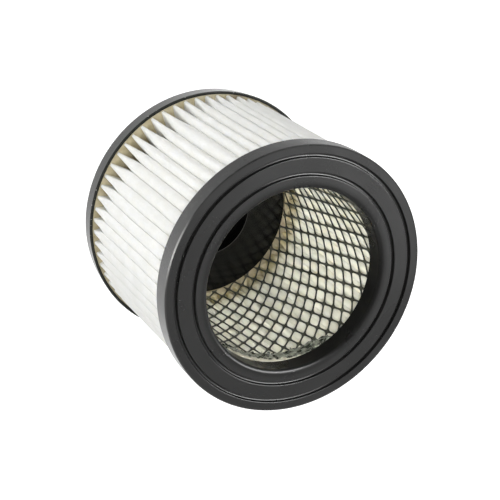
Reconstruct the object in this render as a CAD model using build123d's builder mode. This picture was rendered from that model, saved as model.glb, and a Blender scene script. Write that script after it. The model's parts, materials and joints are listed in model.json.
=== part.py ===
"""Ash vacuum filter: a pleated cartridge between an open and a closed moulded end cap.

Millimetres. The axis is Z, the closed end rests on Z = 0 and the open end is up.
"""

import os
from math import acos, atan2, cos, degrees, hypot, radians, sin

from build123d import *

# Overall size
cap_radius = 65.0
filter_height = 107.0

# Open end cap: a channel ring with a sealing face and a bore
open_cap_height = 9.5
bore_radius = 44.0
open_rim_wall = 1.6
collar_wall = 1.6
face_thickness = 3.0
face_edge_bevel = 0.8
bore_lip_bevel = 1.8
inner_groove_radius = 51.2
outer_groove_radius = 59.7
groove_width = 1.7
groove_depth = 1.8

# Closed end cap: a tray with a tapered rim, a raised hub disc and a central well
closed_cap_height = 9.7
closed_cap_draft = 0.8
closed_rim_wall = 1.6
tray_floor = 2.2
base_edge_bevel = 1.2
hub_mesh_gap = 2.0
hub_height = 8.9
hub_wall = 2.0
well_radius = 22.7
well_floor = 2.0
well_lip_bevel = 0.6

# Potting that bonds the pleats and the mesh into the caps
open_potting_setback = 1.0
closed_potting_height = 8.6

# Expanded metal tube that carries the pleats from inside, with straight strands between its knots
mesh_thickness = 0.8
mesh_strand = 1.8
mesh_columns = 15
mesh_rows = 8
mesh_collar_gap = 0.2

# Pleated media
pleat_count = 65
paper_thickness = 0.6
pleat_rim_gap = 0.6
pleat_mesh_gap = 0.2

# Levels and radii that follow from the sizes above
open_web_level = filter_height - face_thickness
open_rim_level = filter_height - open_cap_height
open_potting_level = open_rim_level + open_potting_setback
media_height = open_potting_level - closed_potting_height
collar_radius = bore_radius + collar_wall
mesh_inner_radius = collar_radius + mesh_collar_gap
hub_radius = mesh_inner_radius - hub_mesh_gap


def polar(radius, angle):
    """Vector of the XY plane with a length and a direction in degrees."""
    return Vector(radius * cos(radians(angle)), radius * sin(radians(angle)))


# Open end cap
with BuildPart() as open_end_cap:
    with BuildSketch(Plane.XZ) as open_section:
        with BuildLine():
            Polyline(
                (bore_radius, open_rim_level),
                (bore_radius, filter_height),
                (cap_radius, filter_height),
                (cap_radius, open_rim_level),
                (cap_radius - open_rim_wall, open_rim_level),
                (cap_radius - open_rim_wall, open_web_level),
                (collar_radius, open_web_level),
                (collar_radius, open_rim_level),
                close=True,
            )
        make_face()
        bore_lip = open_section.vertices().group_by(Axis.Y)[-1].sort_by(Axis.X)[0]
        chamfer(bore_lip, bore_lip_bevel)
        face_edge = open_section.vertices().group_by(Axis.Y)[-1].sort_by(Axis.X)[-1]
        chamfer(face_edge, face_edge_bevel)
        with Locations((inner_groove_radius, filter_height), (outer_groove_radius, filter_height)):
            Rectangle(groove_width, 2 * groove_depth, mode=Mode.SUBTRACT)
    revolve(axis=Axis.Z)

# Closed end cap, whose hub disc leaves a recess underneath and whose well reaches down to the base
with BuildPart() as closed_end_cap:
    with BuildSketch(Plane.XZ) as closed_section:
        with BuildLine():
            Polyline(
                (0, 0),
                (well_radius + hub_wall, 0),
                (well_radius + hub_wall, hub_height - hub_wall),
                (hub_radius - hub_wall, hub_height - hub_wall),
                (hub_radius - hub_wall, 0),
                (cap_radius - closed_cap_draft, 0),
                (cap_radius, closed_cap_height),
                (cap_radius - closed_rim_wall, closed_cap_height),
                (cap_radius - closed_rim_wall, tray_floor),
                (hub_radius, tray_floor),
                (hub_radius, hub_height),
                (well_radius, hub_height),
                (well_radius, well_floor),
                (0, well_floor),
                close=True,
            )
        make_face()
        base_edge = closed_section.vertices().group_by(Axis.Y)[0].sort_by(Axis.X)[-1]
        chamfer(base_edge, base_edge_bevel)
        well_lip = closed_section.vertices().sort_by_distance((well_radius, hub_height))[0]
        chamfer(well_lip, well_lip_bevel)
    revolve(axis=Axis.Z)

# Potting rings, each filling its cap's channel up to the pleat ends
with BuildPart() as open_end_potting:
    with BuildSketch(Plane.XY.offset(open_potting_level)):
        Circle(cap_radius - open_rim_wall)
        Circle(collar_radius, mode=Mode.SUBTRACT)
    extrude(amount=open_web_level - open_potting_level)

with BuildPart() as closed_end_potting:
    with BuildSketch(Plane.XY.offset(tray_floor)):
        Circle(cap_radius - closed_rim_wall)
        Circle(hub_radius, mode=Mode.SUBTRACT)
    extrude(amount=closed_potting_height - tray_floor)

# One diamond gap of the mesh, two flat sides of the tube wide and two rows high
mesh_sides = 2 * mesh_columns
side_angle = 360 / mesh_sides
side_flatness = cos(radians(side_angle / 2))
mesh_inner_corner = mesh_inner_radius / side_flatness
mesh_outer_corner = (mesh_inner_radius + mesh_thickness) / side_flatness
row_pitch = media_height / (mesh_rows - 1)
gap_reach = mesh_inner_corner * sin(radians(side_angle))

with BuildPart() as diamond_gap:
    with BuildSketch(Plane.YZ):
        with BuildLine():
            Polyline((gap_reach, 0), (0, row_pitch), (-gap_reach, 0), (0, -row_pitch), close=True)
        make_face()
        offset(amount=-mesh_strand / 2, kind=Kind.INTERSECTION, mode=Mode.REPLACE)
    extrude(amount=mesh_outer_corner)

# Support mesh, whose first and last rows of gaps are cut through by its ends
with BuildPart() as support_mesh:
    with BuildSketch(Plane.XY.offset(closed_potting_height)):
        RegularPolygon(mesh_outer_corner, mesh_sides)
        RegularPolygon(mesh_inner_corner, mesh_sides, mode=Mode.SUBTRACT)
    extrude(amount=media_height)
    for row in range(mesh_rows):
        with Locations((0, 0, closed_potting_height + row * row_pitch)):
            with PolarLocations(0, mesh_columns, start_angle=(row % 2) * side_angle):
                add(diamond_gap.part, mode=Mode.SUBTRACT)

# Pleated media: one folded band of even thickness, creased at every crest and valley
pitch_angle = 360 / pleat_count
crest_crease = cap_radius - max(open_rim_wall, closed_rim_wall) - pleat_rim_gap - paper_thickness
valley_crease = mesh_outer_corner + pleat_mesh_gap + paper_thickness
flank = polar(valley_crease, pitch_angle / 2) - polar(crest_crease, 0)
flank_lean = acos(paper_thickness / hypot(flank.X, flank.Y))
crest_fold = degrees(atan2(flank.Y, flank.X) - flank_lean)
valley_fold = crest_fold - pitch_angle / 2
crest_reach = paper_thickness / cos(radians(crest_fold / 2))
valley_reach = paper_thickness / cos(radians(valley_fold / 2))

outer_outline = []
inner_outline = []
for pleat in range(pleat_count):
    crest_angle = pleat * pitch_angle
    valley_angle = crest_angle + pitch_angle / 2
    crest = polar(crest_crease, crest_angle)
    valley = polar(valley_crease, valley_angle)
    outer_outline += [
        crest + polar(crest_reach, crest_angle - crest_fold / 2),
        crest + polar(crest_reach, crest_angle + crest_fold / 2),
        valley,
    ]
    inner_outline += [
        crest,
        valley - polar(valley_reach, valley_angle + valley_fold / 2),
        valley - polar(valley_reach, valley_angle - valley_fold / 2),
    ]

with BuildPart() as pleated_media:
    with BuildSketch(Plane.XY.offset(closed_potting_height)):
        with BuildLine():
            Polyline(*outer_outline, close=True)
        make_face()
        with BuildLine():
            Polyline(*inner_outline, close=True)
        make_face(mode=Mode.SUBTRACT)
    extrude(amount=media_height)

# One file for each piece
pieces = {
    "open_end_cap": open_end_cap,
    "closed_end_cap": closed_end_cap,
    "open_end_potting": open_end_potting,
    "closed_end_potting": closed_end_potting,
    "support_mesh": support_mesh,
    "pleated_media": pleated_media,
}
os.makedirs("parts", exist_ok=True)
for name, piece in pieces.items():
    piece.part.label = name
    export_step(piece.part, f"parts/{name}.step")
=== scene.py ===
"""Looks of the ash vacuum filter: moulded caps, pleated paper, expanded metal and adhesive.

Metres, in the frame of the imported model: the axis is Z, the closed end rests on Z = 0 and the open end
is up. Angles run about Z from +X, in degrees.
"""

import json
import math
import random

import bmesh
import bpy
from mathutils import Matrix, Vector, kdtree, noise


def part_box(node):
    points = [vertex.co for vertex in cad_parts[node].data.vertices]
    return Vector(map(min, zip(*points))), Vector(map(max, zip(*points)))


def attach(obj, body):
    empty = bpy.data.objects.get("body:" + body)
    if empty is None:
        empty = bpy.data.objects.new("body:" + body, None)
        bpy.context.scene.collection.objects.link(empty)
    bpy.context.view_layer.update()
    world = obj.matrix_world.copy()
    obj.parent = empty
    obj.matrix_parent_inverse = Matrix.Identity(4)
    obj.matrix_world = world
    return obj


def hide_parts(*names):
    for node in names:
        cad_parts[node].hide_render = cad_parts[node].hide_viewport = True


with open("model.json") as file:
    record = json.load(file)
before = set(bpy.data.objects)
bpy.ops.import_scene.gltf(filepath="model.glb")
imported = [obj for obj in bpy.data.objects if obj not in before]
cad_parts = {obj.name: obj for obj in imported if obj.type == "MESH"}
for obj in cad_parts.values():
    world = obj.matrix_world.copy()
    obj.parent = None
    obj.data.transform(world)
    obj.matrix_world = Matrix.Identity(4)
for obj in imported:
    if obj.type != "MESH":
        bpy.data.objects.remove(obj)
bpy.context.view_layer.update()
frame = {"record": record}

MM = 0.001

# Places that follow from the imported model
mounts = {mount["name"]: mount for mount in frame["record"]["mounts"]}
bore_radius = mounts["bore"]["dims"]["r_mm"] * MM
open_rim_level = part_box("open_end_cap")[0].z
cap_radius, _, filter_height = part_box("open_end_cap")[1]
closed_cap_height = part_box("closed_end_cap")[1].z
tray_floor, closed_glue_level = (corner.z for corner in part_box("closed_end_potting"))
open_glue_level, open_web_level = (corner.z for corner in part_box("open_end_potting"))
glue_outer_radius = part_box("closed_end_potting")[1].x
crest_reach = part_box("pleated_media")[1].x
mesh_outer_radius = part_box("support_mesh")[1].y

# Open end cap
COLLAR_WALL = 1.6 * MM
BORE_DRAFT = 0.5 * MM
BORE_LIP_ROUND = 2.0 * MM
FACE_EDGE_DROP = 0.6 * MM
FACE_EDGE_SETBACK = 0.1 * MM
FACE_EDGE_ROUND = 0.2 * MM
GROOVE_RADII = (51.2 * MM, 59.85 * MM)
GROOVE_WIDTH = 1.7 * MM
GROOVE_DEPTH = 1.8 * MM
GROOVE_EDGE_ROUND = 0.3 * MM
GROOVE_FLOOR_ROUND = 0.75 * MM
RIM_EDGE_ROUND = 0.35 * MM

# Closed end cap
CLOSED_CAP_DRAFT = 0.9 * MM
BASE_EDGE_ROUND = 1.2 * MM
HUB_RADIUS = 43.8 * MM
HUB_HEIGHT = 8.9 * MM
HUB_WALL = 2.0 * MM
HUB_EDGE_ROUND = 0.25 * MM
WELL_RADIUS = 22.7 * MM
WELL_FLOOR = 2.0 * MM
WELL_LIP_ROUND = 0.3 * MM

# Pleated paper
PLEAT_COUNT = 65
PAPER_THICKNESS = 0.6 * MM
PLEAT_MESH_GAP = 0.2 * MM
PINCHED_ROUND = 0.33 * MM
FOLD_CLEARANCE = 0.015 * MM
CREST_SWELL = (0.2 * MM, 2.6 * MM)
VALLEY_SWELL = 0.7 * MM
VALLEY_HOLD = 0.85
VALLEY_LAG = 0.7
CLOSED_END_PINCH = (11 * MM, 26 * MM)
GAPE_MIDDLE = -105.0
GAPE_REACH = 38.0
PINCH_CURVE = 1.3
OPEN_END_PINCH = 6 * MM
OPEN_END_HOLD = 0.55
CREST_PHASE = -92.0
PLEAT_WANDER = 0.35
PLEAT_SWAY = 0.75
CREST_DROP = 0.3 * MM
TIP_FLARE = 0.45 * MM
MITRE_LIMIT = 0.62
PAPER_SINK = {"closed": 4.0 * MM, "open": 0.5 * MM}
PLEAT_GATHERS = (
    # middle, reach and shift, in degrees
    (-128, 17, -0.9),
    (-100, 8, 0.9),
    (-77, 7, 0.8),
)

# Expanded metal
MESH_THICKNESS = 0.5 * MM
MESH_STRAND = 0.94 * MM
MESH_STEPS_RIGHT = 44
MESH_STEPS_LEFT = 29
MESH_RUN = 5.6 * MM
MESH_DROP = 4.844 * MM
MESH_HOLE_SQUARENESS = 8.0
MESH_HOLE_CUT = 0.59
MESH_SECTION = (
    # depth as a share of the thickness, and the share of the way from the cell's border to its hole
    (-0.5, 0.0),
    (-0.46, 0.55),
    (-0.26, 0.9),
    (0.0, 1.0),
    (0.26, 0.9),
    (0.46, 0.55),
    (0.5, 0.0),
)
MESH_MERGE = 0.005 * MM
MESH_PHASE = -86.3
MESH_START_LEVEL = 104.5 * MM
MESH_SINK = 4.0 * MM

# Adhesive
MENISCUS_RISE = 0.9 * MM
MENISCUS_WIDTH = 0.8 * MM
GLUE_UNEVENNESS = 0.25 * MM
GLUE_LUMP = 3 * MM
GLUE_DIP = 3.8 * MM
GLUE_DIP_RADII = (46.5 * MM, 47.0 * MM)
BEAD_RADIUS = 44.8 * MM
BEAD_THICKNESS = 0.55 * MM
BEAD_MIDDLE = 38.0
BEAD_HALF_ANGLE = 45.0
BEAD_THIN = 0.3
BEAD_LEAST = 0.2
BEAD_LUMPS = ((0.6, 9 * MM), (0.4, 2.5 * MM))
FILM_ANGLES = (-2.0, 80.0)
FILM_RADIUS = 44.9 * MM
FILM_REACH = (16 * MM, 6 * MM)
FILM_THICKNESS = 1.0 * MM
FILM_UNEVENNESS = 0.5 * MM
FILM_LUMP = 1.6 * MM
FILM_RAGS = ((0.4, 6 * MM), (0.9, 2.2 * MM))
FILM_COVER = 1.15
FILM_LEAST = 0.55
FILM_END = 0.15
FILM_END_RISE = 6

# Finishes
NOISE_SPAN = (0.3, 0.7)
PLASTIC_GRAIN = 0.5 * MM
PLASTIC_GRAIN_DEPTH = 0.015 * MM
GLOSS_CLOUD = 22 * MM
ROUGH_SPREAD = 0.04
RUB_SIZE = 3 * MM
RIM_FADE = (52 * MM, 61 * MM)
BORE_FADE = (46 * MM, 49 * MM)
WALL_FADE = (64 * MM, 64.8 * MM)
WALL_GLOSS_SPAN = (-35 * MM, 45 * MM)
# Painted highlight along one stretch of the open cap's face edge
EDGE_HIGHLIGHT_ANGLE = -70.0
EDGE_HIGHLIGHT_REACH = 20 * MM
SPECK_SIZE = 1.1 * MM
FIBRE_SIZE = 0.7 * MM
FIBRE_DEPTH = 0.06 * MM
MOTTLE_SIZE = 9 * MM
INSIDE_FADE = (47 * MM, 51 * MM)
SOAK_LEVELS = (11 * MM, 26 * MM)
SOAK_SIZE = 5 * MM
SOAK_RAGGED = 2.5 * MM
PAINT_GRAIN = 0.8 * MM
PAINT_GRAIN_DEPTH = 0.05 * MM
PAINT_PATCH = 7 * MM
GLUE_PATCH = 4 * MM
GLUE_GRAIN = 0.9 * MM
GLUE_GRAIN_DEPTH = 0.08 * MM
STAIN_RADIUS = 60.5 * MM
STAIN_ANGLE = -152.0
STAIN_REACH = 7 * MM
STAIN_STRENGTH = 0.8
FILM_PATCH = 2.8 * MM
FILM_GRAIN = 1.2 * MM
FILM_GRAIN_DEPTH = 0.15 * MM
SEAM_SLOPE = 0.3
SEAM_START = 26 * MM
SEAM_WIDTH = 1 * MM

# How finely the pieces are divided
TURN_STEPS = 320
ROUND_STEPS = 6
ROUND_HOLD = 0.06 * MM
FOLD_STEPS = 10
FLANK_STEPS = 6
PINCHED_LEVELS = 11
OPENED_LEVELS = 6
CELL_SIDE_STEPS = 5
GLUE_STEPS_PER_PLEAT = 16
GLUE_FLANK_STEPS = 30
GLUE_ROWS = 20
BEAD_STEPS = 1280
BEAD_SIDES = 8
FILM_STEP = 0.3 * MM
FILM_SMOOTHINGS = 3

# Camera, fitted to the photograph
CAMERA_AZIMUTH = -0.27
CAMERA_ELEVATION = 56.48
CAMERA_ROLL = 128.0
CAMERA_DISTANCE = 645.1 * MM
CAMERA_AIM = Vector((1.7, 0.0, 60.5)) * MM
CAMERA_LENS = 95.71


# Shapes

def polar(radius, angle, height=0.0):
    """Point at a distance from the Z axis, in a direction in degrees."""
    turn = math.radians(angle)
    return Vector((radius * math.cos(turn), radius * math.sin(turn), height))


def rounded(corners):
    """Closed outline through (radius, height, rounding) corners, with an arc at each rounded one."""
    outline = []
    for index, (radius, height, rounding) in enumerate(corners):
        corner = Vector((radius, height))
        if not rounding:
            outline.append(corner)
            continue
        back = (Vector(corners[index - 1][:2]) - corner).normalized()
        ahead = (Vector(corners[(index + 1) % len(corners)][:2]) - corner).normalized()
        half = back.angle(ahead) / 2
        reach = rounding / math.tan(half)
        centre = corner + (back + ahead).normalized() * rounding / math.sin(half)
        first = corner + back * reach - centre
        last = corner + ahead * reach - centre
        outline.append(corner + back * (reach + ROUND_HOLD))
        for step in range(ROUND_STEPS + 1):
            outline.append(centre + first.slerp(last, step / ROUND_STEPS) * rounding)
        outline.append(corner + ahead * (reach + ROUND_HOLD))
    return outline


def turned(outline):
    """Vertices and faces of a closed outline turned about Z, where a point on the axis is one vertex."""
    vertices = []
    rings = []
    for radius, height in outline:
        count = TURN_STEPS if radius > 0 else 1
        rings.append(range(len(vertices), len(vertices) + count))
        vertices += [polar(radius, 360 * step / count, height) for step in range(count)]
    faces = []
    for ring, other in zip(rings, rings[1:] + rings[:1]):
        for step in range(TURN_STEPS):
            ahead = (step + 1) % TURN_STEPS
            corners = [ring[step % len(ring)], ring[ahead % len(ring)]]
            corners += [other[ahead % len(other)], other[step % len(other)]]
            face = list(dict.fromkeys(corners))
            if len(face) > 2:
                faces.append(face)
    return vertices, faces


def tube_faces(loops, size, closed=True):
    """Quads between neighbouring loops of vertices, and from last to first if the tube is closed."""
    faces = []
    for loop in range(loops if closed else loops - 1):
        other = (loop + 1) % loops
        for step in range(size):
            ahead = (step + 1) % size
            near_side = (loop * size + step, loop * size + ahead)
            faces.append(near_side + (other * size + ahead, other * size + step))
    return faces


def add_piece(name, form, finish, node=None, crease=40):
    """Smooth piece of a bmesh form, creased where its faces meet at a larger angle, riding on the part."""
    bmesh.ops.recalc_face_normals(form, faces=form.faces)
    mesh = bpy.data.meshes.new(name)
    form.to_mesh(mesh)
    form.free()
    mesh.shade_smooth()
    mesh.set_sharp_from_angle(angle=math.radians(crease))
    mesh.materials.append(finish)
    piece = bpy.data.objects.new(name, mesh)
    bpy.context.scene.collection.objects.link(piece)
    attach(piece, "root")
    if node:
        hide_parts(node)
    return piece


def form_of(vertices, faces):
    """A bmesh of vertices and faces."""
    form = bmesh.new()
    made = [form.verts.new(vertex) for vertex in vertices]
    for face in faces:
        form.faces.new([made[index] for index in face])
    return form


# Materials

class Nodes:
    """A tree of shader nodes, with short ways to add to it."""

    def __init__(self, tree):
        self.tree = tree

    def add(self, kind, inputs=None, **settings):
        """Node of a kind, with its settings and its inputs' values or links."""
        node = self.tree.nodes.new(kind)
        for key, value in settings.items():
            setattr(node, key, value)
        for socket, value in (inputs or {}).items():
            self.put(node.inputs[socket], value)
        return node

    def put(self, socket, value):
        """Link or value of a socket."""
        if isinstance(value, bpy.types.NodeSocket):
            self.tree.links.new(value, socket)
        else:
            socket.default_value = value

    def math(self, operation, *values):
        """Result of one arithmetic step."""
        return self.add("ShaderNodeMath", dict(enumerate(values)), operation=operation).outputs[0]

    def between(self, value, low, high, first=0.0, last=1.0):
        """A value that goes smoothly from first to last as another goes from low to high."""
        inputs = {"Value": value, "From Min": low, "From Max": high, "To Min": first, "To Max": last}
        return self.add("ShaderNodeMapRange", inputs, interpolation_type="SMOOTHSTEP").outputs["Result"]

    def seen(self):
        """1 for rays from the camera, in reflections and through clear things, and 0 for all others."""
        rays = self.add("ShaderNodeLightPath").outputs
        seen = self.math("MAXIMUM", rays["Is Camera Ray"], rays["Is Glossy Ray"])
        return self.math("MAXIMUM", seen, rays["Is Transmission Ray"])


class Finish(Nodes):
    """A procedural material: its shader, and short ways to make what goes into it."""

    def __init__(self, name, **constants):
        self.material = bpy.data.materials.new(name)
        self.material.use_nodes = True
        super().__init__(self.material.node_tree)
        self.shader = self.tree.nodes["Principled BSDF"]
        for socket, value in constants.items():
            self.shader.inputs[socket.replace("_", " ")].default_value = value
        self.place = self.add("ShaderNodeTexCoord").outputs["Object"]

    def shade(self, **inputs):
        """Links of the shader's own inputs."""
        for socket, value in inputs.items():
            self.put(self.shader.inputs[socket.replace("_", " ")], value)

    def noise(self, size, detail=2.0, stretch=(1, 1, 1)):
        """Noise whose grains are about a size across, stretched along the axes."""
        place = self.add("ShaderNodeMapping", {"Vector": self.place, "Scale": [1 / s for s in stretch]})
        inputs = {"Vector": place.outputs[0], "Scale": 1 / size, "Detail": detail}
        return self.add("ShaderNodeTexNoise", inputs).outputs["Fac"]

    def mix(self, share, first, last):
        """Colour between two colours."""
        inputs = {0: share, 6: colour(first), 7: colour(last)}
        return self.add("ShaderNodeMix", inputs, data_type="RGBA").outputs[2]

    def bump(self, height, distance):
        """Normal of a surface that rises with a height of 0 to 1 over a distance."""
        return self.add("ShaderNodeBump", {"Height": height, "Distance": distance}).outputs["Normal"]

    def axes(self):
        """Radius from the Z axis and height, as sockets."""
        flat = self.add("ShaderNodeVectorMath", {0: self.place, 1: (1, 1, 0)}, operation="MULTIPLY")
        radius = self.add("ShaderNodeVectorMath", {0: flat.outputs[0]}, operation="LENGTH")
        height = self.add("ShaderNodeSeparateXYZ", {0: self.place})
        return radius.outputs["Value"], height.outputs["Z"]

    def near(self, point, reach):
        """Share from 1 at a point to 0 at a distance from it."""
        away = self.add("ShaderNodeVectorMath", {0: self.place, 1: point}, operation="DISTANCE")
        return self.between(away.outputs["Value"], 0, reach, 1, 0)


def colour(value):
    """Colour with its alpha, or a socket as it is."""
    return value if isinstance(value, bpy.types.NodeSocket) else (*value, 1.0)


def moulded_plastic(name, tones, rim_tone, rough):
    """Finish and base colour of dark moulded plastic with a fine grain, cloudy gloss and rubbed rims."""
    finish = Finish(name)
    grain = finish.noise(PLASTIC_GRAIN, 3)
    cloud = finish.noise(GLOSS_CLOUD, 4)
    radius, _ = finish.axes()
    base = finish.mix(finish.between(grain, *NOISE_SPAN), *tones)
    base = finish.mix(finish.between(radius, *RIM_FADE), base, rim_tone)
    edge = finish.between(radius, cap_radius - 0.5 * MM, cap_radius - 0.1 * MM)
    rub = finish.between(finish.noise(RUB_SIZE, 5), 0.5, 0.72, 0, 0.22)
    base = finish.mix(finish.math("MULTIPLY", rub, edge), base, (0.06, 0.06, 0.058))
    finish.shade(
        Roughness=finish.between(cloud, *NOISE_SPAN, rough - ROUGH_SPREAD, rough + ROUGH_SPREAD),
        Normal=finish.bump(grain, PLASTIC_GRAIN_DEPTH),
    )
    return finish, base


def cap_plastic():
    """Satin plastic of the open end's cap, dulled by use around the bore, with a painted highlight on one
    stretch of its face edge.
    """
    tones = ((0.006, 0.006, 0.0058), (0.009, 0.009, 0.0086))
    finish, base = moulded_plastic("cap_plastic", tones, (0.008, 0.008, 0.0077), 0.3)
    radius, height = finish.axes()
    across = finish.add("ShaderNodeSeparateXYZ", {0: finish.place}).outputs["X"]
    face_gloss = finish.between(radius, *BORE_FADE, 0.2, 0.35)
    wall_gloss = finish.between(across, *WALL_GLOSS_SPAN, 0.12, 0.72)
    wall = finish.between(radius, *WALL_FADE)
    gloss = finish.add("ShaderNodeMix", {0: wall, 2: face_gloss, 3: wall_gloss}).outputs[0]
    # Painted highlight: a pale line on the rounding between the face and the outer wall, on one side only
    edge_highlight = finish.near(polar(cap_radius, EDGE_HIGHLIGHT_ANGLE, filter_height - 1 * MM), EDGE_HIGHLIGHT_REACH)
    top = finish.between(height, filter_height - 1.0 * MM, filter_height - 0.6 * MM)
    rim = finish.between(radius, cap_radius - 0.5 * MM, cap_radius - 0.3 * MM)
    edge_highlight = finish.math("MULTIPLY", edge_highlight, finish.math("MULTIPLY", top, rim))
    finish.shade(Base_Color=finish.mix(edge_highlight, base, (0.32, 0.32, 0.31)), Specular_IOR_Level=gloss)
    return finish.material


def hub_plastic():
    """Plastic of the closed end's cap, with a glossy disc, a painted highlight as a pale ring on the lip of
    its well, and a dull rim.
    """
    tones = ((0.003, 0.003, 0.0027), (0.005, 0.005, 0.0046))
    finish, base = moulded_plastic("hub_plastic", tones, (0.022, 0.023, 0.020), 0.14)
    radius, height = finish.axes()
    # Painted highlight: a pale ring on top of the well's lip
    inside = finish.between(radius, WELL_RADIUS + 0.2 * MM, WELL_RADIUS + 0.5 * MM, 1, 0)
    top = finish.between(height, HUB_HEIGHT - 0.3 * MM, HUB_HEIGHT - 0.1 * MM)
    base = finish.mix(finish.math("MULTIPLY", inside, top), base, (0.055, 0.055, 0.05))
    speck = finish.between(finish.noise(SPECK_SIZE, 2), 0.71, 0.74)
    rim = finish.between(radius, cap_radius - 0.9 * MM, cap_radius - 0.4 * MM)
    top = finish.between(height, closed_cap_height - 1.0 * MM, closed_cap_height - 0.5 * MM)
    speck = finish.math("MULTIPLY", speck, finish.math("MULTIPLY", rim, top))
    finish.shade(
        Base_Color=finish.mix(speck, base, (0.55, 0.55, 0.52)),
        Specular_IOR_Level=finish.between(radius, *RIM_FADE, 0.27, 0.13),
    )
    return finish.material


def filter_paper():
    """Off-white fibrous paper, creamy inside and stained by the adhesive at the closed end."""
    finish = Finish(
        "filter_paper",
        Roughness=0.9,
        Specular_IOR_Level=0.03,
        Subsurface_Weight=0.6,
        Subsurface_Radius=(1.0, 0.95, 0.82),
        Subsurface_Scale=1.5 * MM,
    )
    fibre = finish.noise(FIBRE_SIZE, 4, (1, 1, 3))
    mottle = finish.noise(MOTTLE_SIZE, 3)
    radius, height = finish.axes()
    base = finish.mix(finish.between(mottle, *NOISE_SPAN), (0.85, 0.85, 0.80), (0.90, 0.90, 0.86))
    base = finish.mix(finish.between(fibre, 0.35, 0.75, 0, 0.25), base, (0.77, 0.76, 0.69))
    inside = finish.between(radius, *INSIDE_FADE, 1, 0)
    base = finish.mix(inside, base, (0.83, 0.81, 0.665))
    ragged = finish.between(finish.noise(SOAK_SIZE, 3), *NOISE_SPAN, -SOAK_RAGGED, SOAK_RAGGED)
    soaked = finish.between(finish.math("ADD", height, ragged), *SOAK_LEVELS, 0.95, 0)
    base = finish.mix(finish.math("MULTIPLY", soaked, inside), base, (0.44, 0.38, 0.21))
    finish.shade(Base_Color=base, Normal=finish.bump(fibre, FIBRE_DEPTH))
    return finish.material


def mesh_metal():
    """Black paint on expanded metal, uneven and slightly worn."""
    finish = Finish("mesh_metal", Specular_IOR_Level=0.4)
    grain = finish.noise(PAINT_GRAIN, 3)
    patch = finish.noise(PAINT_PATCH, 3)
    base = finish.mix(finish.between(patch, 0.35, 0.7), (0.036, 0.037, 0.027), (0.072, 0.074, 0.055))
    finish.shade(
        Base_Color=base,
        Roughness=finish.between(patch, *NOISE_SPAN, 0.42, 0.6),
        Normal=finish.bump(grain, PAINT_GRAIN_DEPTH),
    )
    return finish.material


def potting():
    """Khaki cast adhesive with a dull skin and one brown stain."""
    finish = Finish("potting", Specular_IOR_Level=0.4)
    patch = finish.noise(GLUE_PATCH, 4)
    fine = finish.noise(GLUE_GRAIN, 3)
    base = finish.mix(finish.between(patch, *NOISE_SPAN), (0.40, 0.345, 0.21), (0.50, 0.445, 0.30))
    stain = finish.near(polar(STAIN_RADIUS, STAIN_ANGLE, closed_glue_level), STAIN_REACH)
    base = finish.mix(finish.math("MULTIPLY", stain, STAIN_STRENGTH), base, (0.17, 0.12, 0.06))
    finish.shade(
        Base_Color=base,
        Roughness=finish.between(fine, *NOISE_SPAN, 0.4, 0.6),
        Normal=finish.bump(fine, GLUE_GRAIN_DEPTH),
    )
    return finish.material


def glue_film():
    """Grey-green film of adhesive over the black mesh, with painted glints as pale spots and a pale slanted
    seam.
    """
    finish = Finish("glue_film", Specular_IOR_Level=0.5)
    patch = finish.noise(FILM_PATCH, 3)
    fine = finish.noise(FILM_GRAIN, 2)
    base = finish.mix(finish.between(patch, 0.42, 0.60), (0.03, 0.034, 0.027), (0.20, 0.21, 0.165))
    # Painted glints: pale spots where the fine noise is high
    base = finish.mix(finish.between(fine, 0.56, 0.70, 0, 0.6), base, (0.50, 0.51, 0.44))
    place = finish.add("ShaderNodeSeparateXYZ", {0: finish.place}).outputs
    seam = finish.math("MULTIPLY_ADD", place["X"], SEAM_SLOPE, place["Z"])
    seam = finish.math("ADD", seam, finish.between(patch, *NOISE_SPAN, -SEAM_WIDTH, SEAM_WIDTH))
    level = open_rim_level + SEAM_SLOPE * SEAM_START
    base = finish.mix(finish.between(seam, level, level + SEAM_WIDTH), base, (0.55, 0.53, 0.43))
    finish.shade(
        Base_Color=base,
        Roughness=finish.between(patch, *NOISE_SPAN, 0.2, 0.45),
        Normal=finish.bump(fine, FILM_GRAIN_DEPTH),
    )
    return finish.material


def floor_white():
    """White floor that keeps the object's shadow and is white to the camera and in reflections."""
    finish = Finish("floor_white", Roughness=0.9, Specular_IOR_Level=0.0, Emission_Color=(1, 1, 1, 1))
    sweep = finish.noise(FLOOR_PATCH, 2)
    finish.shade(
        Base_Color=finish.mix(sweep, (0.60, 0.60, 0.60), (0.62, 0.62, 0.62)),
        Emission_Strength=finish.math("MULTIPLY", finish.seen(), FLOOR_GLOW),
    )
    return finish.material


def flag_black():
    """Black cloth."""
    finish = Finish("flag_black", Roughness=1.0, Specular_IOR_Level=0.0)
    weave = finish.noise(WEAVE_SIZE, 2)
    finish.shade(Base_Color=finish.mix(weave, (0.004, 0.004, 0.004), (0.008, 0.008, 0.008)))
    return finish.material


# Caps

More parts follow.
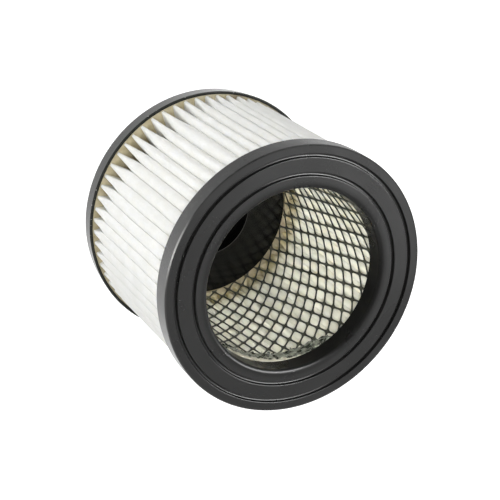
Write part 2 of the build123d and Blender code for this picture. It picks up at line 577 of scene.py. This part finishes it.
def open_cap_form():
    """Channel ring with a grooved face, a rounded bore lip, an outer rim and an inner collar."""
    wall = cap_radius - glue_outer_radius
    collar_radius = bore_radius + COLLAR_WALL
    corners = [
        (bore_radius, open_rim_level, RIM_EDGE_ROUND),
        (bore_radius + BORE_DRAFT, filter_height, BORE_LIP_ROUND),
    ]
    for groove in GROOVE_RADII:
        inner, outer = groove - GROOVE_WIDTH / 2, groove + GROOVE_WIDTH / 2
        corners += [
            (inner, filter_height, GROOVE_EDGE_ROUND),
            (inner, filter_height - GROOVE_DEPTH, GROOVE_FLOOR_ROUND),
            (outer, filter_height - GROOVE_DEPTH, GROOVE_FLOOR_ROUND),
            (outer, filter_height, GROOVE_EDGE_ROUND),
        ]
    corners += [
        (cap_radius - FACE_EDGE_SETBACK, filter_height, FACE_EDGE_ROUND),
        (cap_radius, filter_height - FACE_EDGE_DROP, FACE_EDGE_ROUND),
        (cap_radius, open_rim_level, RIM_EDGE_ROUND),
        (cap_radius - wall, open_rim_level, RIM_EDGE_ROUND),
        (cap_radius - wall, open_web_level, RIM_EDGE_ROUND),
        (collar_radius, open_web_level, RIM_EDGE_ROUND),
        (collar_radius, open_rim_level, RIM_EDGE_ROUND),
    ]
    return form_of(*turned(rounded(corners)))


def closed_cap_form():
    """Tray with an outer rim, a raised hub disc, a central well and a recess under the disc."""
    recess_level = HUB_HEIGHT - HUB_WALL
    corners = [
        (0, 0, 0),
        (WELL_RADIUS + HUB_WALL, 0, RIM_EDGE_ROUND),
        (WELL_RADIUS + HUB_WALL, recess_level, RIM_EDGE_ROUND),
        (HUB_RADIUS - HUB_WALL, recess_level, RIM_EDGE_ROUND),
        (HUB_RADIUS - HUB_WALL, 0, RIM_EDGE_ROUND),
        (cap_radius - CLOSED_CAP_DRAFT, 0, BASE_EDGE_ROUND),
        (cap_radius, closed_cap_height, RIM_EDGE_ROUND),
        (glue_outer_radius, closed_cap_height, RIM_EDGE_ROUND),
        (glue_outer_radius, tray_floor, RIM_EDGE_ROUND),
        (HUB_RADIUS, tray_floor, RIM_EDGE_ROUND),
        (HUB_RADIUS, HUB_HEIGHT, HUB_EDGE_ROUND),
        (WELL_RADIUS, HUB_HEIGHT, WELL_LIP_ROUND),
        (WELL_RADIUS, WELL_FLOOR, RIM_EDGE_ROUND),
        (0, WELL_FLOOR, 0),
    ]
    return form_of(*turned(rounded(corners)))


# Pleated paper

valley_tip = mesh_outer_radius + PLEAT_MESH_GAP + PAPER_THICKNESS / 2
crest_tip = crest_reach - PAPER_THICKNESS / 2


def pleat_slots():
    """Angle, sway and tip drop of every slot between two crests, slightly uneven."""
    rng = random.Random(11)
    slots = []
    for pleat in range(PLEAT_COUNT):
        angle = CREST_PHASE + 360 * (pleat - 0.5) / PLEAT_COUNT
        for middle, reach, shift in PLEAT_GATHERS:
            away = (angle - middle + 180) % 360 - 180
            angle += shift * math.exp(-((away / reach) ** 2))
        angle += rng.uniform(-PLEAT_WANDER, PLEAT_WANDER)
        slots.append((angle, rng.uniform(-PLEAT_SWAY, PLEAT_SWAY), rng.uniform(0, CREST_DROP)))
    return slots


def gape(angle):
    """Share from 0 to 1 to which the folds at an angle gape at the closed end, largest on one side."""
    away = (angle - GAPE_MIDDLE + 180) % 360 - 180
    return math.exp(-((away / GAPE_REACH) ** 2))


def opened(height, angle, lag):
    """Share to which a fold has opened at a height, from 0 where the adhesive pinches it."""
    tight, loose = CLOSED_END_PINCH
    from_closed = max(height - closed_glue_level, 0) / (tight + (loose - tight) * gape(angle)) / lag
    from_open = max(open_glue_level - height, 0) / OPEN_END_PINCH
    pinch = max(1 - from_closed, (1 - from_open) * (1 - OPEN_END_HOLD), 0)
    return 1 - pinch ** PINCH_CURVE


def fold_swell(angle, side):
    """Depth over which an opened crest or valley swells before its flanks lie together."""
    least, most = CREST_SWELL
    return least + (most - least) * gape(angle) if side > 0 else VALLEY_SWELL


def flattened(point, side, swell, round_depth, spread):
    """Point of the band, moved so that an opened fold swells little before its flanks lie together."""
    tip = crest_tip if side > 0 else valley_tip
    half = (crest_tip - valley_tip) / 2
    depth = max(side * (tip - point.length), 0)
    share = min(depth / round_depth, 1)
    shallow = swell * share * (2 - share)
    shallow += max(depth - round_depth, 0) * (half - swell) / (half - round_depth)
    return point * (1 - side * (depth + (shallow - depth) * spread) / tip) * tip / point.length


def mitre(before, after):
    """Outward step of a sheet's skin at a bend between two ways, long enough to keep its thickness."""
    first, last = (Vector((way.y, -way.x, 0)).normalized() for way in (before, after))
    middle = (first + last).normalized()
    return middle / max(middle.dot(first), MITRE_LIMIT)


def pleat_folds(slots, share):
    """Angle, half room, reach and side of every valley and crest, in turn, at a share of the height."""
    walls = [angle + sway * math.sin(math.pi * share) for angle, sway, _ in slots]
    tips = [(wall + after) / 2 for wall, after in zip(walls, walls[1:] + [walls[0] + 360])]
    folds = []
    for index, (_, _, drop) in enumerate(slots):
        before = tips[index - 1] - (0 if index else 360)
        folds.append(((before + tips[index]) / 2, (tips[index] - before) / 2, valley_tip, -1))
        folds.append((tips[index], tips[index] - walls[index], crest_tip - drop, 1))
    return folds


def fold_bends(folds, height, share):
    """Share to which every fold has opened at a height, and the radius and centre of its bend."""
    bends = []
    for angle, half_room, reach, side in folds:
        spread = opened(height, angle, 1 if side > 0 else VALLEY_LAG)
        if side < 0 and share > 0.5:
            spread = max(spread, VALLEY_HOLD)
        room = math.radians(half_room)
        widest = (reach * room - PAPER_THICKNESS / 2 - FOLD_CLEARANCE) / (1 + side * room)
        radius = PINCHED_ROUND + (widest - PINCHED_ROUND) * spread
        flare = TIP_FLARE * (1 - spread) if side > 0 and share < 0.5 else 0
        bends.append((spread, radius, polar(reach + flare - side * radius, angle)))
    return bends


def paper_band(slots, height, flank_steps):
    """Points of the paper's middle layer and the steps from them to its outer skin at a height."""
    share = (height - closed_glue_level) / (open_glue_level - closed_glue_level)
    folds = pleat_folds(slots, share)
    spreads, radii, centres = zip(*fold_bends(folds, height, share))
    sides = [side for _, _, _, side in folds]
    following = [*range(1, len(folds)), 0]
    normals = []
    for index, after in enumerate(following):
        way = centres[after] - centres[index]
        across = Vector((way.y, -way.x, 0)).normalized()
        lean = (sides[index] * radii[index] - sides[after] * radii[after]) / way.length
        normals.append(across * math.sqrt(1 - lean * lean) + way.normalized() * lean)
    middle = (crest_tip + valley_tip) / 2
    band = []
    for index, after in enumerate(following):
        side = sides[index]
        before, ahead = (math.atan2(normal.y, normal.x) for normal in (normals[index - 1], normals[index]))
        turn = side * (side * (ahead - before) % math.tau)
        stretch = []
        for step in range(FOLD_STEPS + 1):
            normal = polar(1, math.degrees(before + turn * step / FOLD_STEPS))
            stretch.append(centres[index] + normal * side * radii[index])
        start = stretch[-1]
        end = centres[after] + normals[index] * sides[after] * radii[after]
        stretch += [start.lerp(end, step / flank_steps) for step in range(1, flank_steps)]
        for point in stretch:
            fold = index if (point.length > middle) == (side > 0) else after
            swell = fold_swell(folds[fold][0], sides[fold])
            band.append(flattened(point, sides[fold], swell, radii[fold], spreads[fold]))
    ways = [band[(index + 1) % len(band)] - point for index, point in enumerate(band)]
    return [(point, mitre(ways[index - 1], ways[index])) for index, point in enumerate(band)]


def paper_form(slots):
    """The folded band as a closed sheet of even thickness, with its ends sunk into the adhesive."""
    low = closed_glue_level - PAPER_SINK["closed"]
    spread = closed_glue_level + max(CLOSED_END_PINCH)
    high = open_glue_level + PAPER_SINK["open"]
    levels = [low + (spread - low) * step / PINCHED_LEVELS for step in range(PINCHED_LEVELS)]
    levels += [spread + (high - spread) * step / OPENED_LEVELS for step in range(OPENED_LEVELS + 1)]
    skins = {1: [], -1: []}
    for height in levels:
        lift = Vector((0, 0, height))
        band = paper_band(slots, height, FLANK_STEPS)
        for side, skin in skins.items():
            skin.append([point + way * side * PAPER_THICKNESS / 2 + lift for point, way in band])
    loops = skins[1] + skins[-1][::-1]
    vertices = [vertex for loop in loops for vertex in loop]
    return form_of(vertices, tube_faces(len(loops), len(loops[0])))


# Expanded metal

def cell_border():
    """Points around a cell's four sides, as shares of half its two steps."""
    corners = [(-1, -1), (1, -1), (1, 1), (-1, 1)]
    border = []
    for start, end in zip(corners, corners[1:] + corners[:1]):
        for step in range(CELL_SIDE_STEPS):
            share = step / CELL_SIDE_STEPS
            border.append([first + (last - first) * share for first, last in zip(start, end)])
    return border


def cell_rings(right, left, radius):
    """Rings of (offset from a cell's middle, radius) through its strands, from inside to outside."""
    cell_area = abs(right.cross(left))
    hole_right = 1 - MESH_STRAND * left.length / cell_area
    hole_left = 1 - MESH_STRAND * right.length / cell_area
    power = MESH_HOLE_SQUARENESS
    rings = []
    for depth, open_share in MESH_SECTION:
        ring = []
        for along, across in cell_border():
            corner = MESH_HOLE_CUT * abs(along - across)
            shrink = (abs(along) ** power + abs(across) ** power + corner ** power) ** (-1 / power)
            hole = right * (along * shrink * hole_right / 2) + left * (across * shrink * hole_left / 2)
            edge = right * (along / 2) + left * (across / 2)
            ring.append((edge.lerp(hole, open_share), radius + depth * MESH_THICKNESS))
        rings.append(ring)
    return rings


def mesh_form():
    """Tube of slanted cells, whose strands are shared between neighbours and cut off at both ends."""
    radius = mesh_outer_radius - MESH_THICKNESS / 2
    around = math.tau * radius
    right = Vector((MESH_RUN, -MESH_DROP))
    left = Vector((MESH_STEPS_RIGHT * MESH_RUN - around, -MESH_STEPS_RIGHT * MESH_DROP)) / MESH_STEPS_LEFT
    rings = cell_rings(right, left, radius)
    faces = tube_faces(len(rings), len(rings[0]), closed=False)
    form = bmesh.new()
    ends = {-1: closed_glue_level - MESH_SINK, 1: open_glue_level}
    low, high = (level - MESH_START_LEVEL for level in ends.values())
    for column in range(MESH_STEPS_RIGHT):
        first = math.floor((high - right.y * column) / left.y) - 1
        last = math.ceil((low - right.y * column) / left.y) + 1
        for row in range(first, last + 1):
            centre = right * column + left * row
            made = []
            for ring in rings:
                for offset, ring_radius in ring:
                    place = centre + offset
                    angle = MESH_PHASE + 360 * place.x / around
                    made.append(form.verts.new(polar(ring_radius, angle, MESH_START_LEVEL + place.y)))
            for face in faces:
                form.faces.new([made[index] for index in face])
    bmesh.ops.remove_doubles(form, verts=form.verts, dist=MESH_MERGE)
    for way, level in ends.items():
        everything = list(form.verts) + list(form.edges) + list(form.faces)
        plane = {"plane_co": (0, 0, level), "plane_no": (0, 0, way)}
        bmesh.ops.bisect_plane(form, geom=everything, clear_outer=True, **plane)
    bmesh.ops.holes_fill(form, edges=[edge for edge in form.edges if edge.is_boundary], sides=0)
    return form


# Adhesive

def glue_form(slots, level, back_level, inner_radius, rise, dip):
    """Ring of adhesive in a cap's channel, whose open surface climbs the paper and dips inside the mesh."""
    band = paper_band(slots, level, GLUE_FLANK_STEPS)
    paper = kdtree.KDTree(len(band))
    for index, (point, _) in enumerate(band):
        paper.insert(point, index)
    paper.balance()
    steps = PLEAT_COUNT * GLUE_STEPS_PER_PLEAT
    low_radius, high_radius = GLUE_DIP_RADII
    loops = [(inner_radius, back_level, False), (inner_radius, level, True), (low_radius, level, True)]
    for row in range(GLUE_ROWS + 1):
        loops.append((high_radius + (glue_outer_radius - high_radius) * row / GLUE_ROWS, level, True))
    loops.append((glue_outer_radius, back_level, False))
    vertices = []
    for radius, height, is_open in loops:
        dipped = dip * min(max((high_radius - radius) / (high_radius - low_radius), 0), 1)
        for step in range(steps):
            point = polar(radius, 360 * step / steps)
            lift = 0.0
            if is_open:
                away = paper.find(point)[2]
                lift = MENISCUS_RISE * math.exp(-away / MENISCUS_WIDTH) - dipped
                lift += GLUE_UNEVENNESS * noise.noise(point / GLUE_LUMP)
            vertices.append(point + Vector((0, 0, height + rise * lift)))
    return form_of(vertices, tube_faces(len(loops), steps))


def bead_form():
    """Uneven bead of adhesive under the collar's lower edge, thickest on one side."""
    vertices = []
    for step in range(BEAD_STEPS):
        angle = 360 * step / BEAD_STEPS
        spot = polar(BEAD_RADIUS, angle)
        away = ((angle - BEAD_MIDDLE + 180) % 360 - 180) / BEAD_HALF_ANGLE
        swell = BEAD_THIN + (1 - BEAD_THIN) * math.exp(-(away ** 4))
        swell *= 1 + sum(share * noise.noise(spot / size) for share, size in BEAD_LUMPS)
        for side in range(BEAD_SIDES):
            out = polar(BEAD_THICKNESS * max(swell, BEAD_LEAST), 360 * side / BEAD_SIDES)
            vertices.append(polar(BEAD_RADIUS + out.x, angle, open_rim_level + out.y))
    return form_of(vertices, tube_faces(BEAD_STEPS, BEAD_SIDES))


def film_form():
    """Ragged run of adhesive on the mesh beside the collar."""
    first, last = (math.radians(angle) * FILM_RADIUS for angle in FILM_ANGLES)
    columns = round((last - first) / FILM_STEP)
    rows = round(max(FILM_REACH) / FILM_STEP)
    form = bmesh.new()
    grid = {}
    for column in range(columns + 1):
        for row in range(rows + 1):
            run = first + (last - first) * column / columns
            drop = max(FILM_REACH) * row / rows
            lump = FILM_UNEVENNESS * noise.noise(Vector((run, drop, 0)) / FILM_LUMP)
            angle = math.degrees(run / FILM_RADIUS)
            grid[column, row] = form.verts.new(polar(FILM_RADIUS + lump, angle, open_rim_level - drop))
    for column in range(columns):
        for row in range(rows):
            run = first + (last - first) * (column + 0.5) / columns
            drop = max(FILM_REACH) * (row + 0.5) / rows
            spot = Vector((run, drop, 0))
            reach = FILM_REACH[0] + (FILM_REACH[1] - FILM_REACH[0]) * column / columns
            from_end = min(column, columns - column) / columns
            ragged = sum(share * noise.noise(spot / size) for share, size in FILM_RAGS)
            cover = FILM_COVER - (drop / reach) ** 3 + ragged * min(drop / reach, 1)
            if cover > FILM_LEAST + max(FILM_END - from_end, 0) * FILM_END_RISE:
                corners = ((column, row), (column + 1, row), (column + 1, row + 1), (column, row + 1))
                form.faces.new([grid[corner] for corner in corners])
    loose = [vertex for vertex in form.verts if not vertex.link_faces]
    bmesh.ops.delete(form, geom=loose, context="VERTS")
    every_axis = {"use_axis_x": True, "use_axis_y": True, "use_axis_z": True}
    for _ in range(FILM_SMOOTHINGS):
        bmesh.ops.smooth_vert(form, verts=form.verts, factor=0.5, **every_axis)
    bmesh.ops.recalc_face_normals(form, faces=form.faces)
    bmesh.ops.solidify(form, geom=form.faces, thickness=FILM_THICKNESS)
    return form


# Studio

FLOOR_GLOW = 0.8
FLOOR_SIZE = 12.0
FLOOR_GAP = 0.05 * MM
FLOOR_PATCH = 0.4
WORLD_LIGHT = 0.5
LAMP_AIM = 100 * MM
LAMPS = {
    # name: direction from the object, distance, length and height, power, beam in degrees,
    # and the kinds of rays that it reaches
    "front": ((0.0, -0.52, 0.85), 0.9, (1.1, 0.4), 2.3, 90, ("diffuse",)),
    "key": ((0.62, -0.75, 0.22), 1.1, (0.8, 0.8), 3.0, 180, ("diffuse",)),
    "fill": ((-0.45, -0.85, 0.20), 1.1, (0.8, 0.8), 0.9, 180, ("diffuse",)),
    "left_beam": ((0.42, -0.42, 0.80), 0.6, (0.03, 0.03), 0.018, 10, ("diffuse",)),
    "right_beam": ((-0.42, -0.42, 0.80), 0.6, (0.03, 0.03), 0.010, 10, ("diffuse",)),
    "right_card": ((-0.66, 0.20, 0.72), 1.1, (1.2, 0.4), 42.0, 180, ("glossy",)),
    "top_card": ((-0.35, 0.50, 0.79), 1.1, (0.6, 0.6), 1.0, 180, ("glossy",)),
}
DARK_SIDE = (0.0, -0.7, 0.7)
DARK_DISTANCE = 1.3
DARK_SIZE = (6.0, 3.0)
WEAVE_SIZE = 5 * MM


def flat_card(name, size, finish):
    """Flat card of a length and width, facing up."""
    form = bmesh.new()
    bmesh.ops.create_grid(form, x_segments=2, y_segments=2, size=0.5)
    bmesh.ops.scale(form, vec=(*size, 1), verts=form.verts)
    mesh = bpy.data.meshes.new(name)
    form.to_mesh(mesh)
    form.free()
    mesh.materials.append(finish)
    card = bpy.data.objects.new(name, mesh)
    bpy.context.scene.collection.objects.link(card)
    return card


def add_floor():
    """Wide pale floor under the object."""
    floor = flat_card("floor", (FLOOR_SIZE, FLOOR_SIZE), floor_white())
    floor.location.z = -FLOOR_GAP


def face_object(item, way, distance):
    """Put an item at a distance from the object and turn it to face it."""
    item.location = Vector((0, 0, LAMP_AIM)) + Vector(way).normalized() * distance
    item.rotation_mode = "QUATERNION"
    item.rotation_quaternion = Vector(way).to_track_quat("Z", "Y")


def add_dark_side():
    """Black flag behind the camera, which only the object's gloss shows."""
    flag = flat_card("dark_side", DARK_SIZE, flag_black())
    face_object(flag, DARK_SIDE, DARK_DISTANCE)
    for rays in ("camera", "diffuse", "transmission", "volume_scatter", "shadow"):
        setattr(flag, "visible_" + rays, False)


def add_world():
    """Even studio light, which is white to the camera and in reflections."""
    world = bpy.data.worlds.new("studio")
    world.use_nodes = True
    nodes = Nodes(world.node_tree)
    sky = nodes.tree.nodes["Background"]
    sky.inputs["Color"].default_value = (1, 1, 1, 1)
    nodes.put(sky.inputs["Strength"], nodes.between(nodes.seen(), 0, 1, WORLD_LIGHT, 1))
    bpy.context.scene.world = world


def add_lamps():
    """Soft boxes around the object, and cards that only its gloss shows."""
    for name, (way, distance, (length, height), power, beam, rays) in LAMPS.items():
        lamp = bpy.data.lights.new(name, "AREA")
        lamp.shape = "RECTANGLE"
        lamp.size = length
        lamp.size_y = height
        lamp.energy = power
        lamp.spread = math.radians(beam)
        box = bpy.data.objects.new(name, lamp)
        face_object(box, way, distance)
        box.visible_camera = False
        box.visible_diffuse = "diffuse" in rays
        box.visible_glossy = "glossy" in rays
        bpy.context.scene.collection.objects.link(box)


def add_camera():
    """Camera at the photograph's viewing angle, rolled as the photograph is."""
    azimuth, elevation, roll = map(math.radians, (CAMERA_AZIMUTH, CAMERA_ELEVATION, CAMERA_ROLL))
    level = math.cos(elevation)
    back = Vector((math.sin(azimuth) * level, -math.cos(azimuth) * level, math.sin(elevation)))
    level_right = Vector((0, 0, 1)).cross(back).normalized()
    up = back.cross(level_right) * math.cos(roll) - level_right * math.sin(roll)
    turn = Matrix((up.cross(back), up, back)).transposed().to_4x4()
    lens = bpy.data.cameras.new("camera")
    lens.lens = CAMERA_LENS
    camera = bpy.data.objects.new("camera", lens)
    camera.matrix_world = Matrix.Translation(CAMERA_AIM + back * CAMERA_DISTANCE) @ turn
    bpy.context.scene.collection.objects.link(camera)
    bpy.context.scene.camera = camera


# The filter

glue = potting()
slots = pleat_slots()

add_piece("open_cap_moulding", open_cap_form(), cap_plastic(), "open_end_cap")
add_piece("closed_cap_moulding", closed_cap_form(), hub_plastic(), "closed_end_cap")
add_piece("pleated_paper", paper_form(slots), filter_paper(), "pleated_media")
add_piece("expanded_mesh", mesh_form(), mesh_metal(), "support_mesh", crease=60)
closed_glue = glue_form(slots, closed_glue_level, tray_floor, HUB_RADIUS, 1, GLUE_DIP)
add_piece("closed_end_glue", closed_glue, glue, "closed_end_potting")
open_glue = glue_form(slots, open_glue_level, open_web_level, bore_radius + COLLAR_WALL, -1, 0)
add_piece("open_end_glue", open_glue, glue, "open_end_potting")
add_piece("collar_glue_bead", bead_form(), glue)
add_piece("collar_glue_film", film_form(), glue_film())

add_floor()
add_dark_side()
add_world()
add_lamps()
add_camera()
bpy.context.scene.view_settings.view_transform = "Standard"
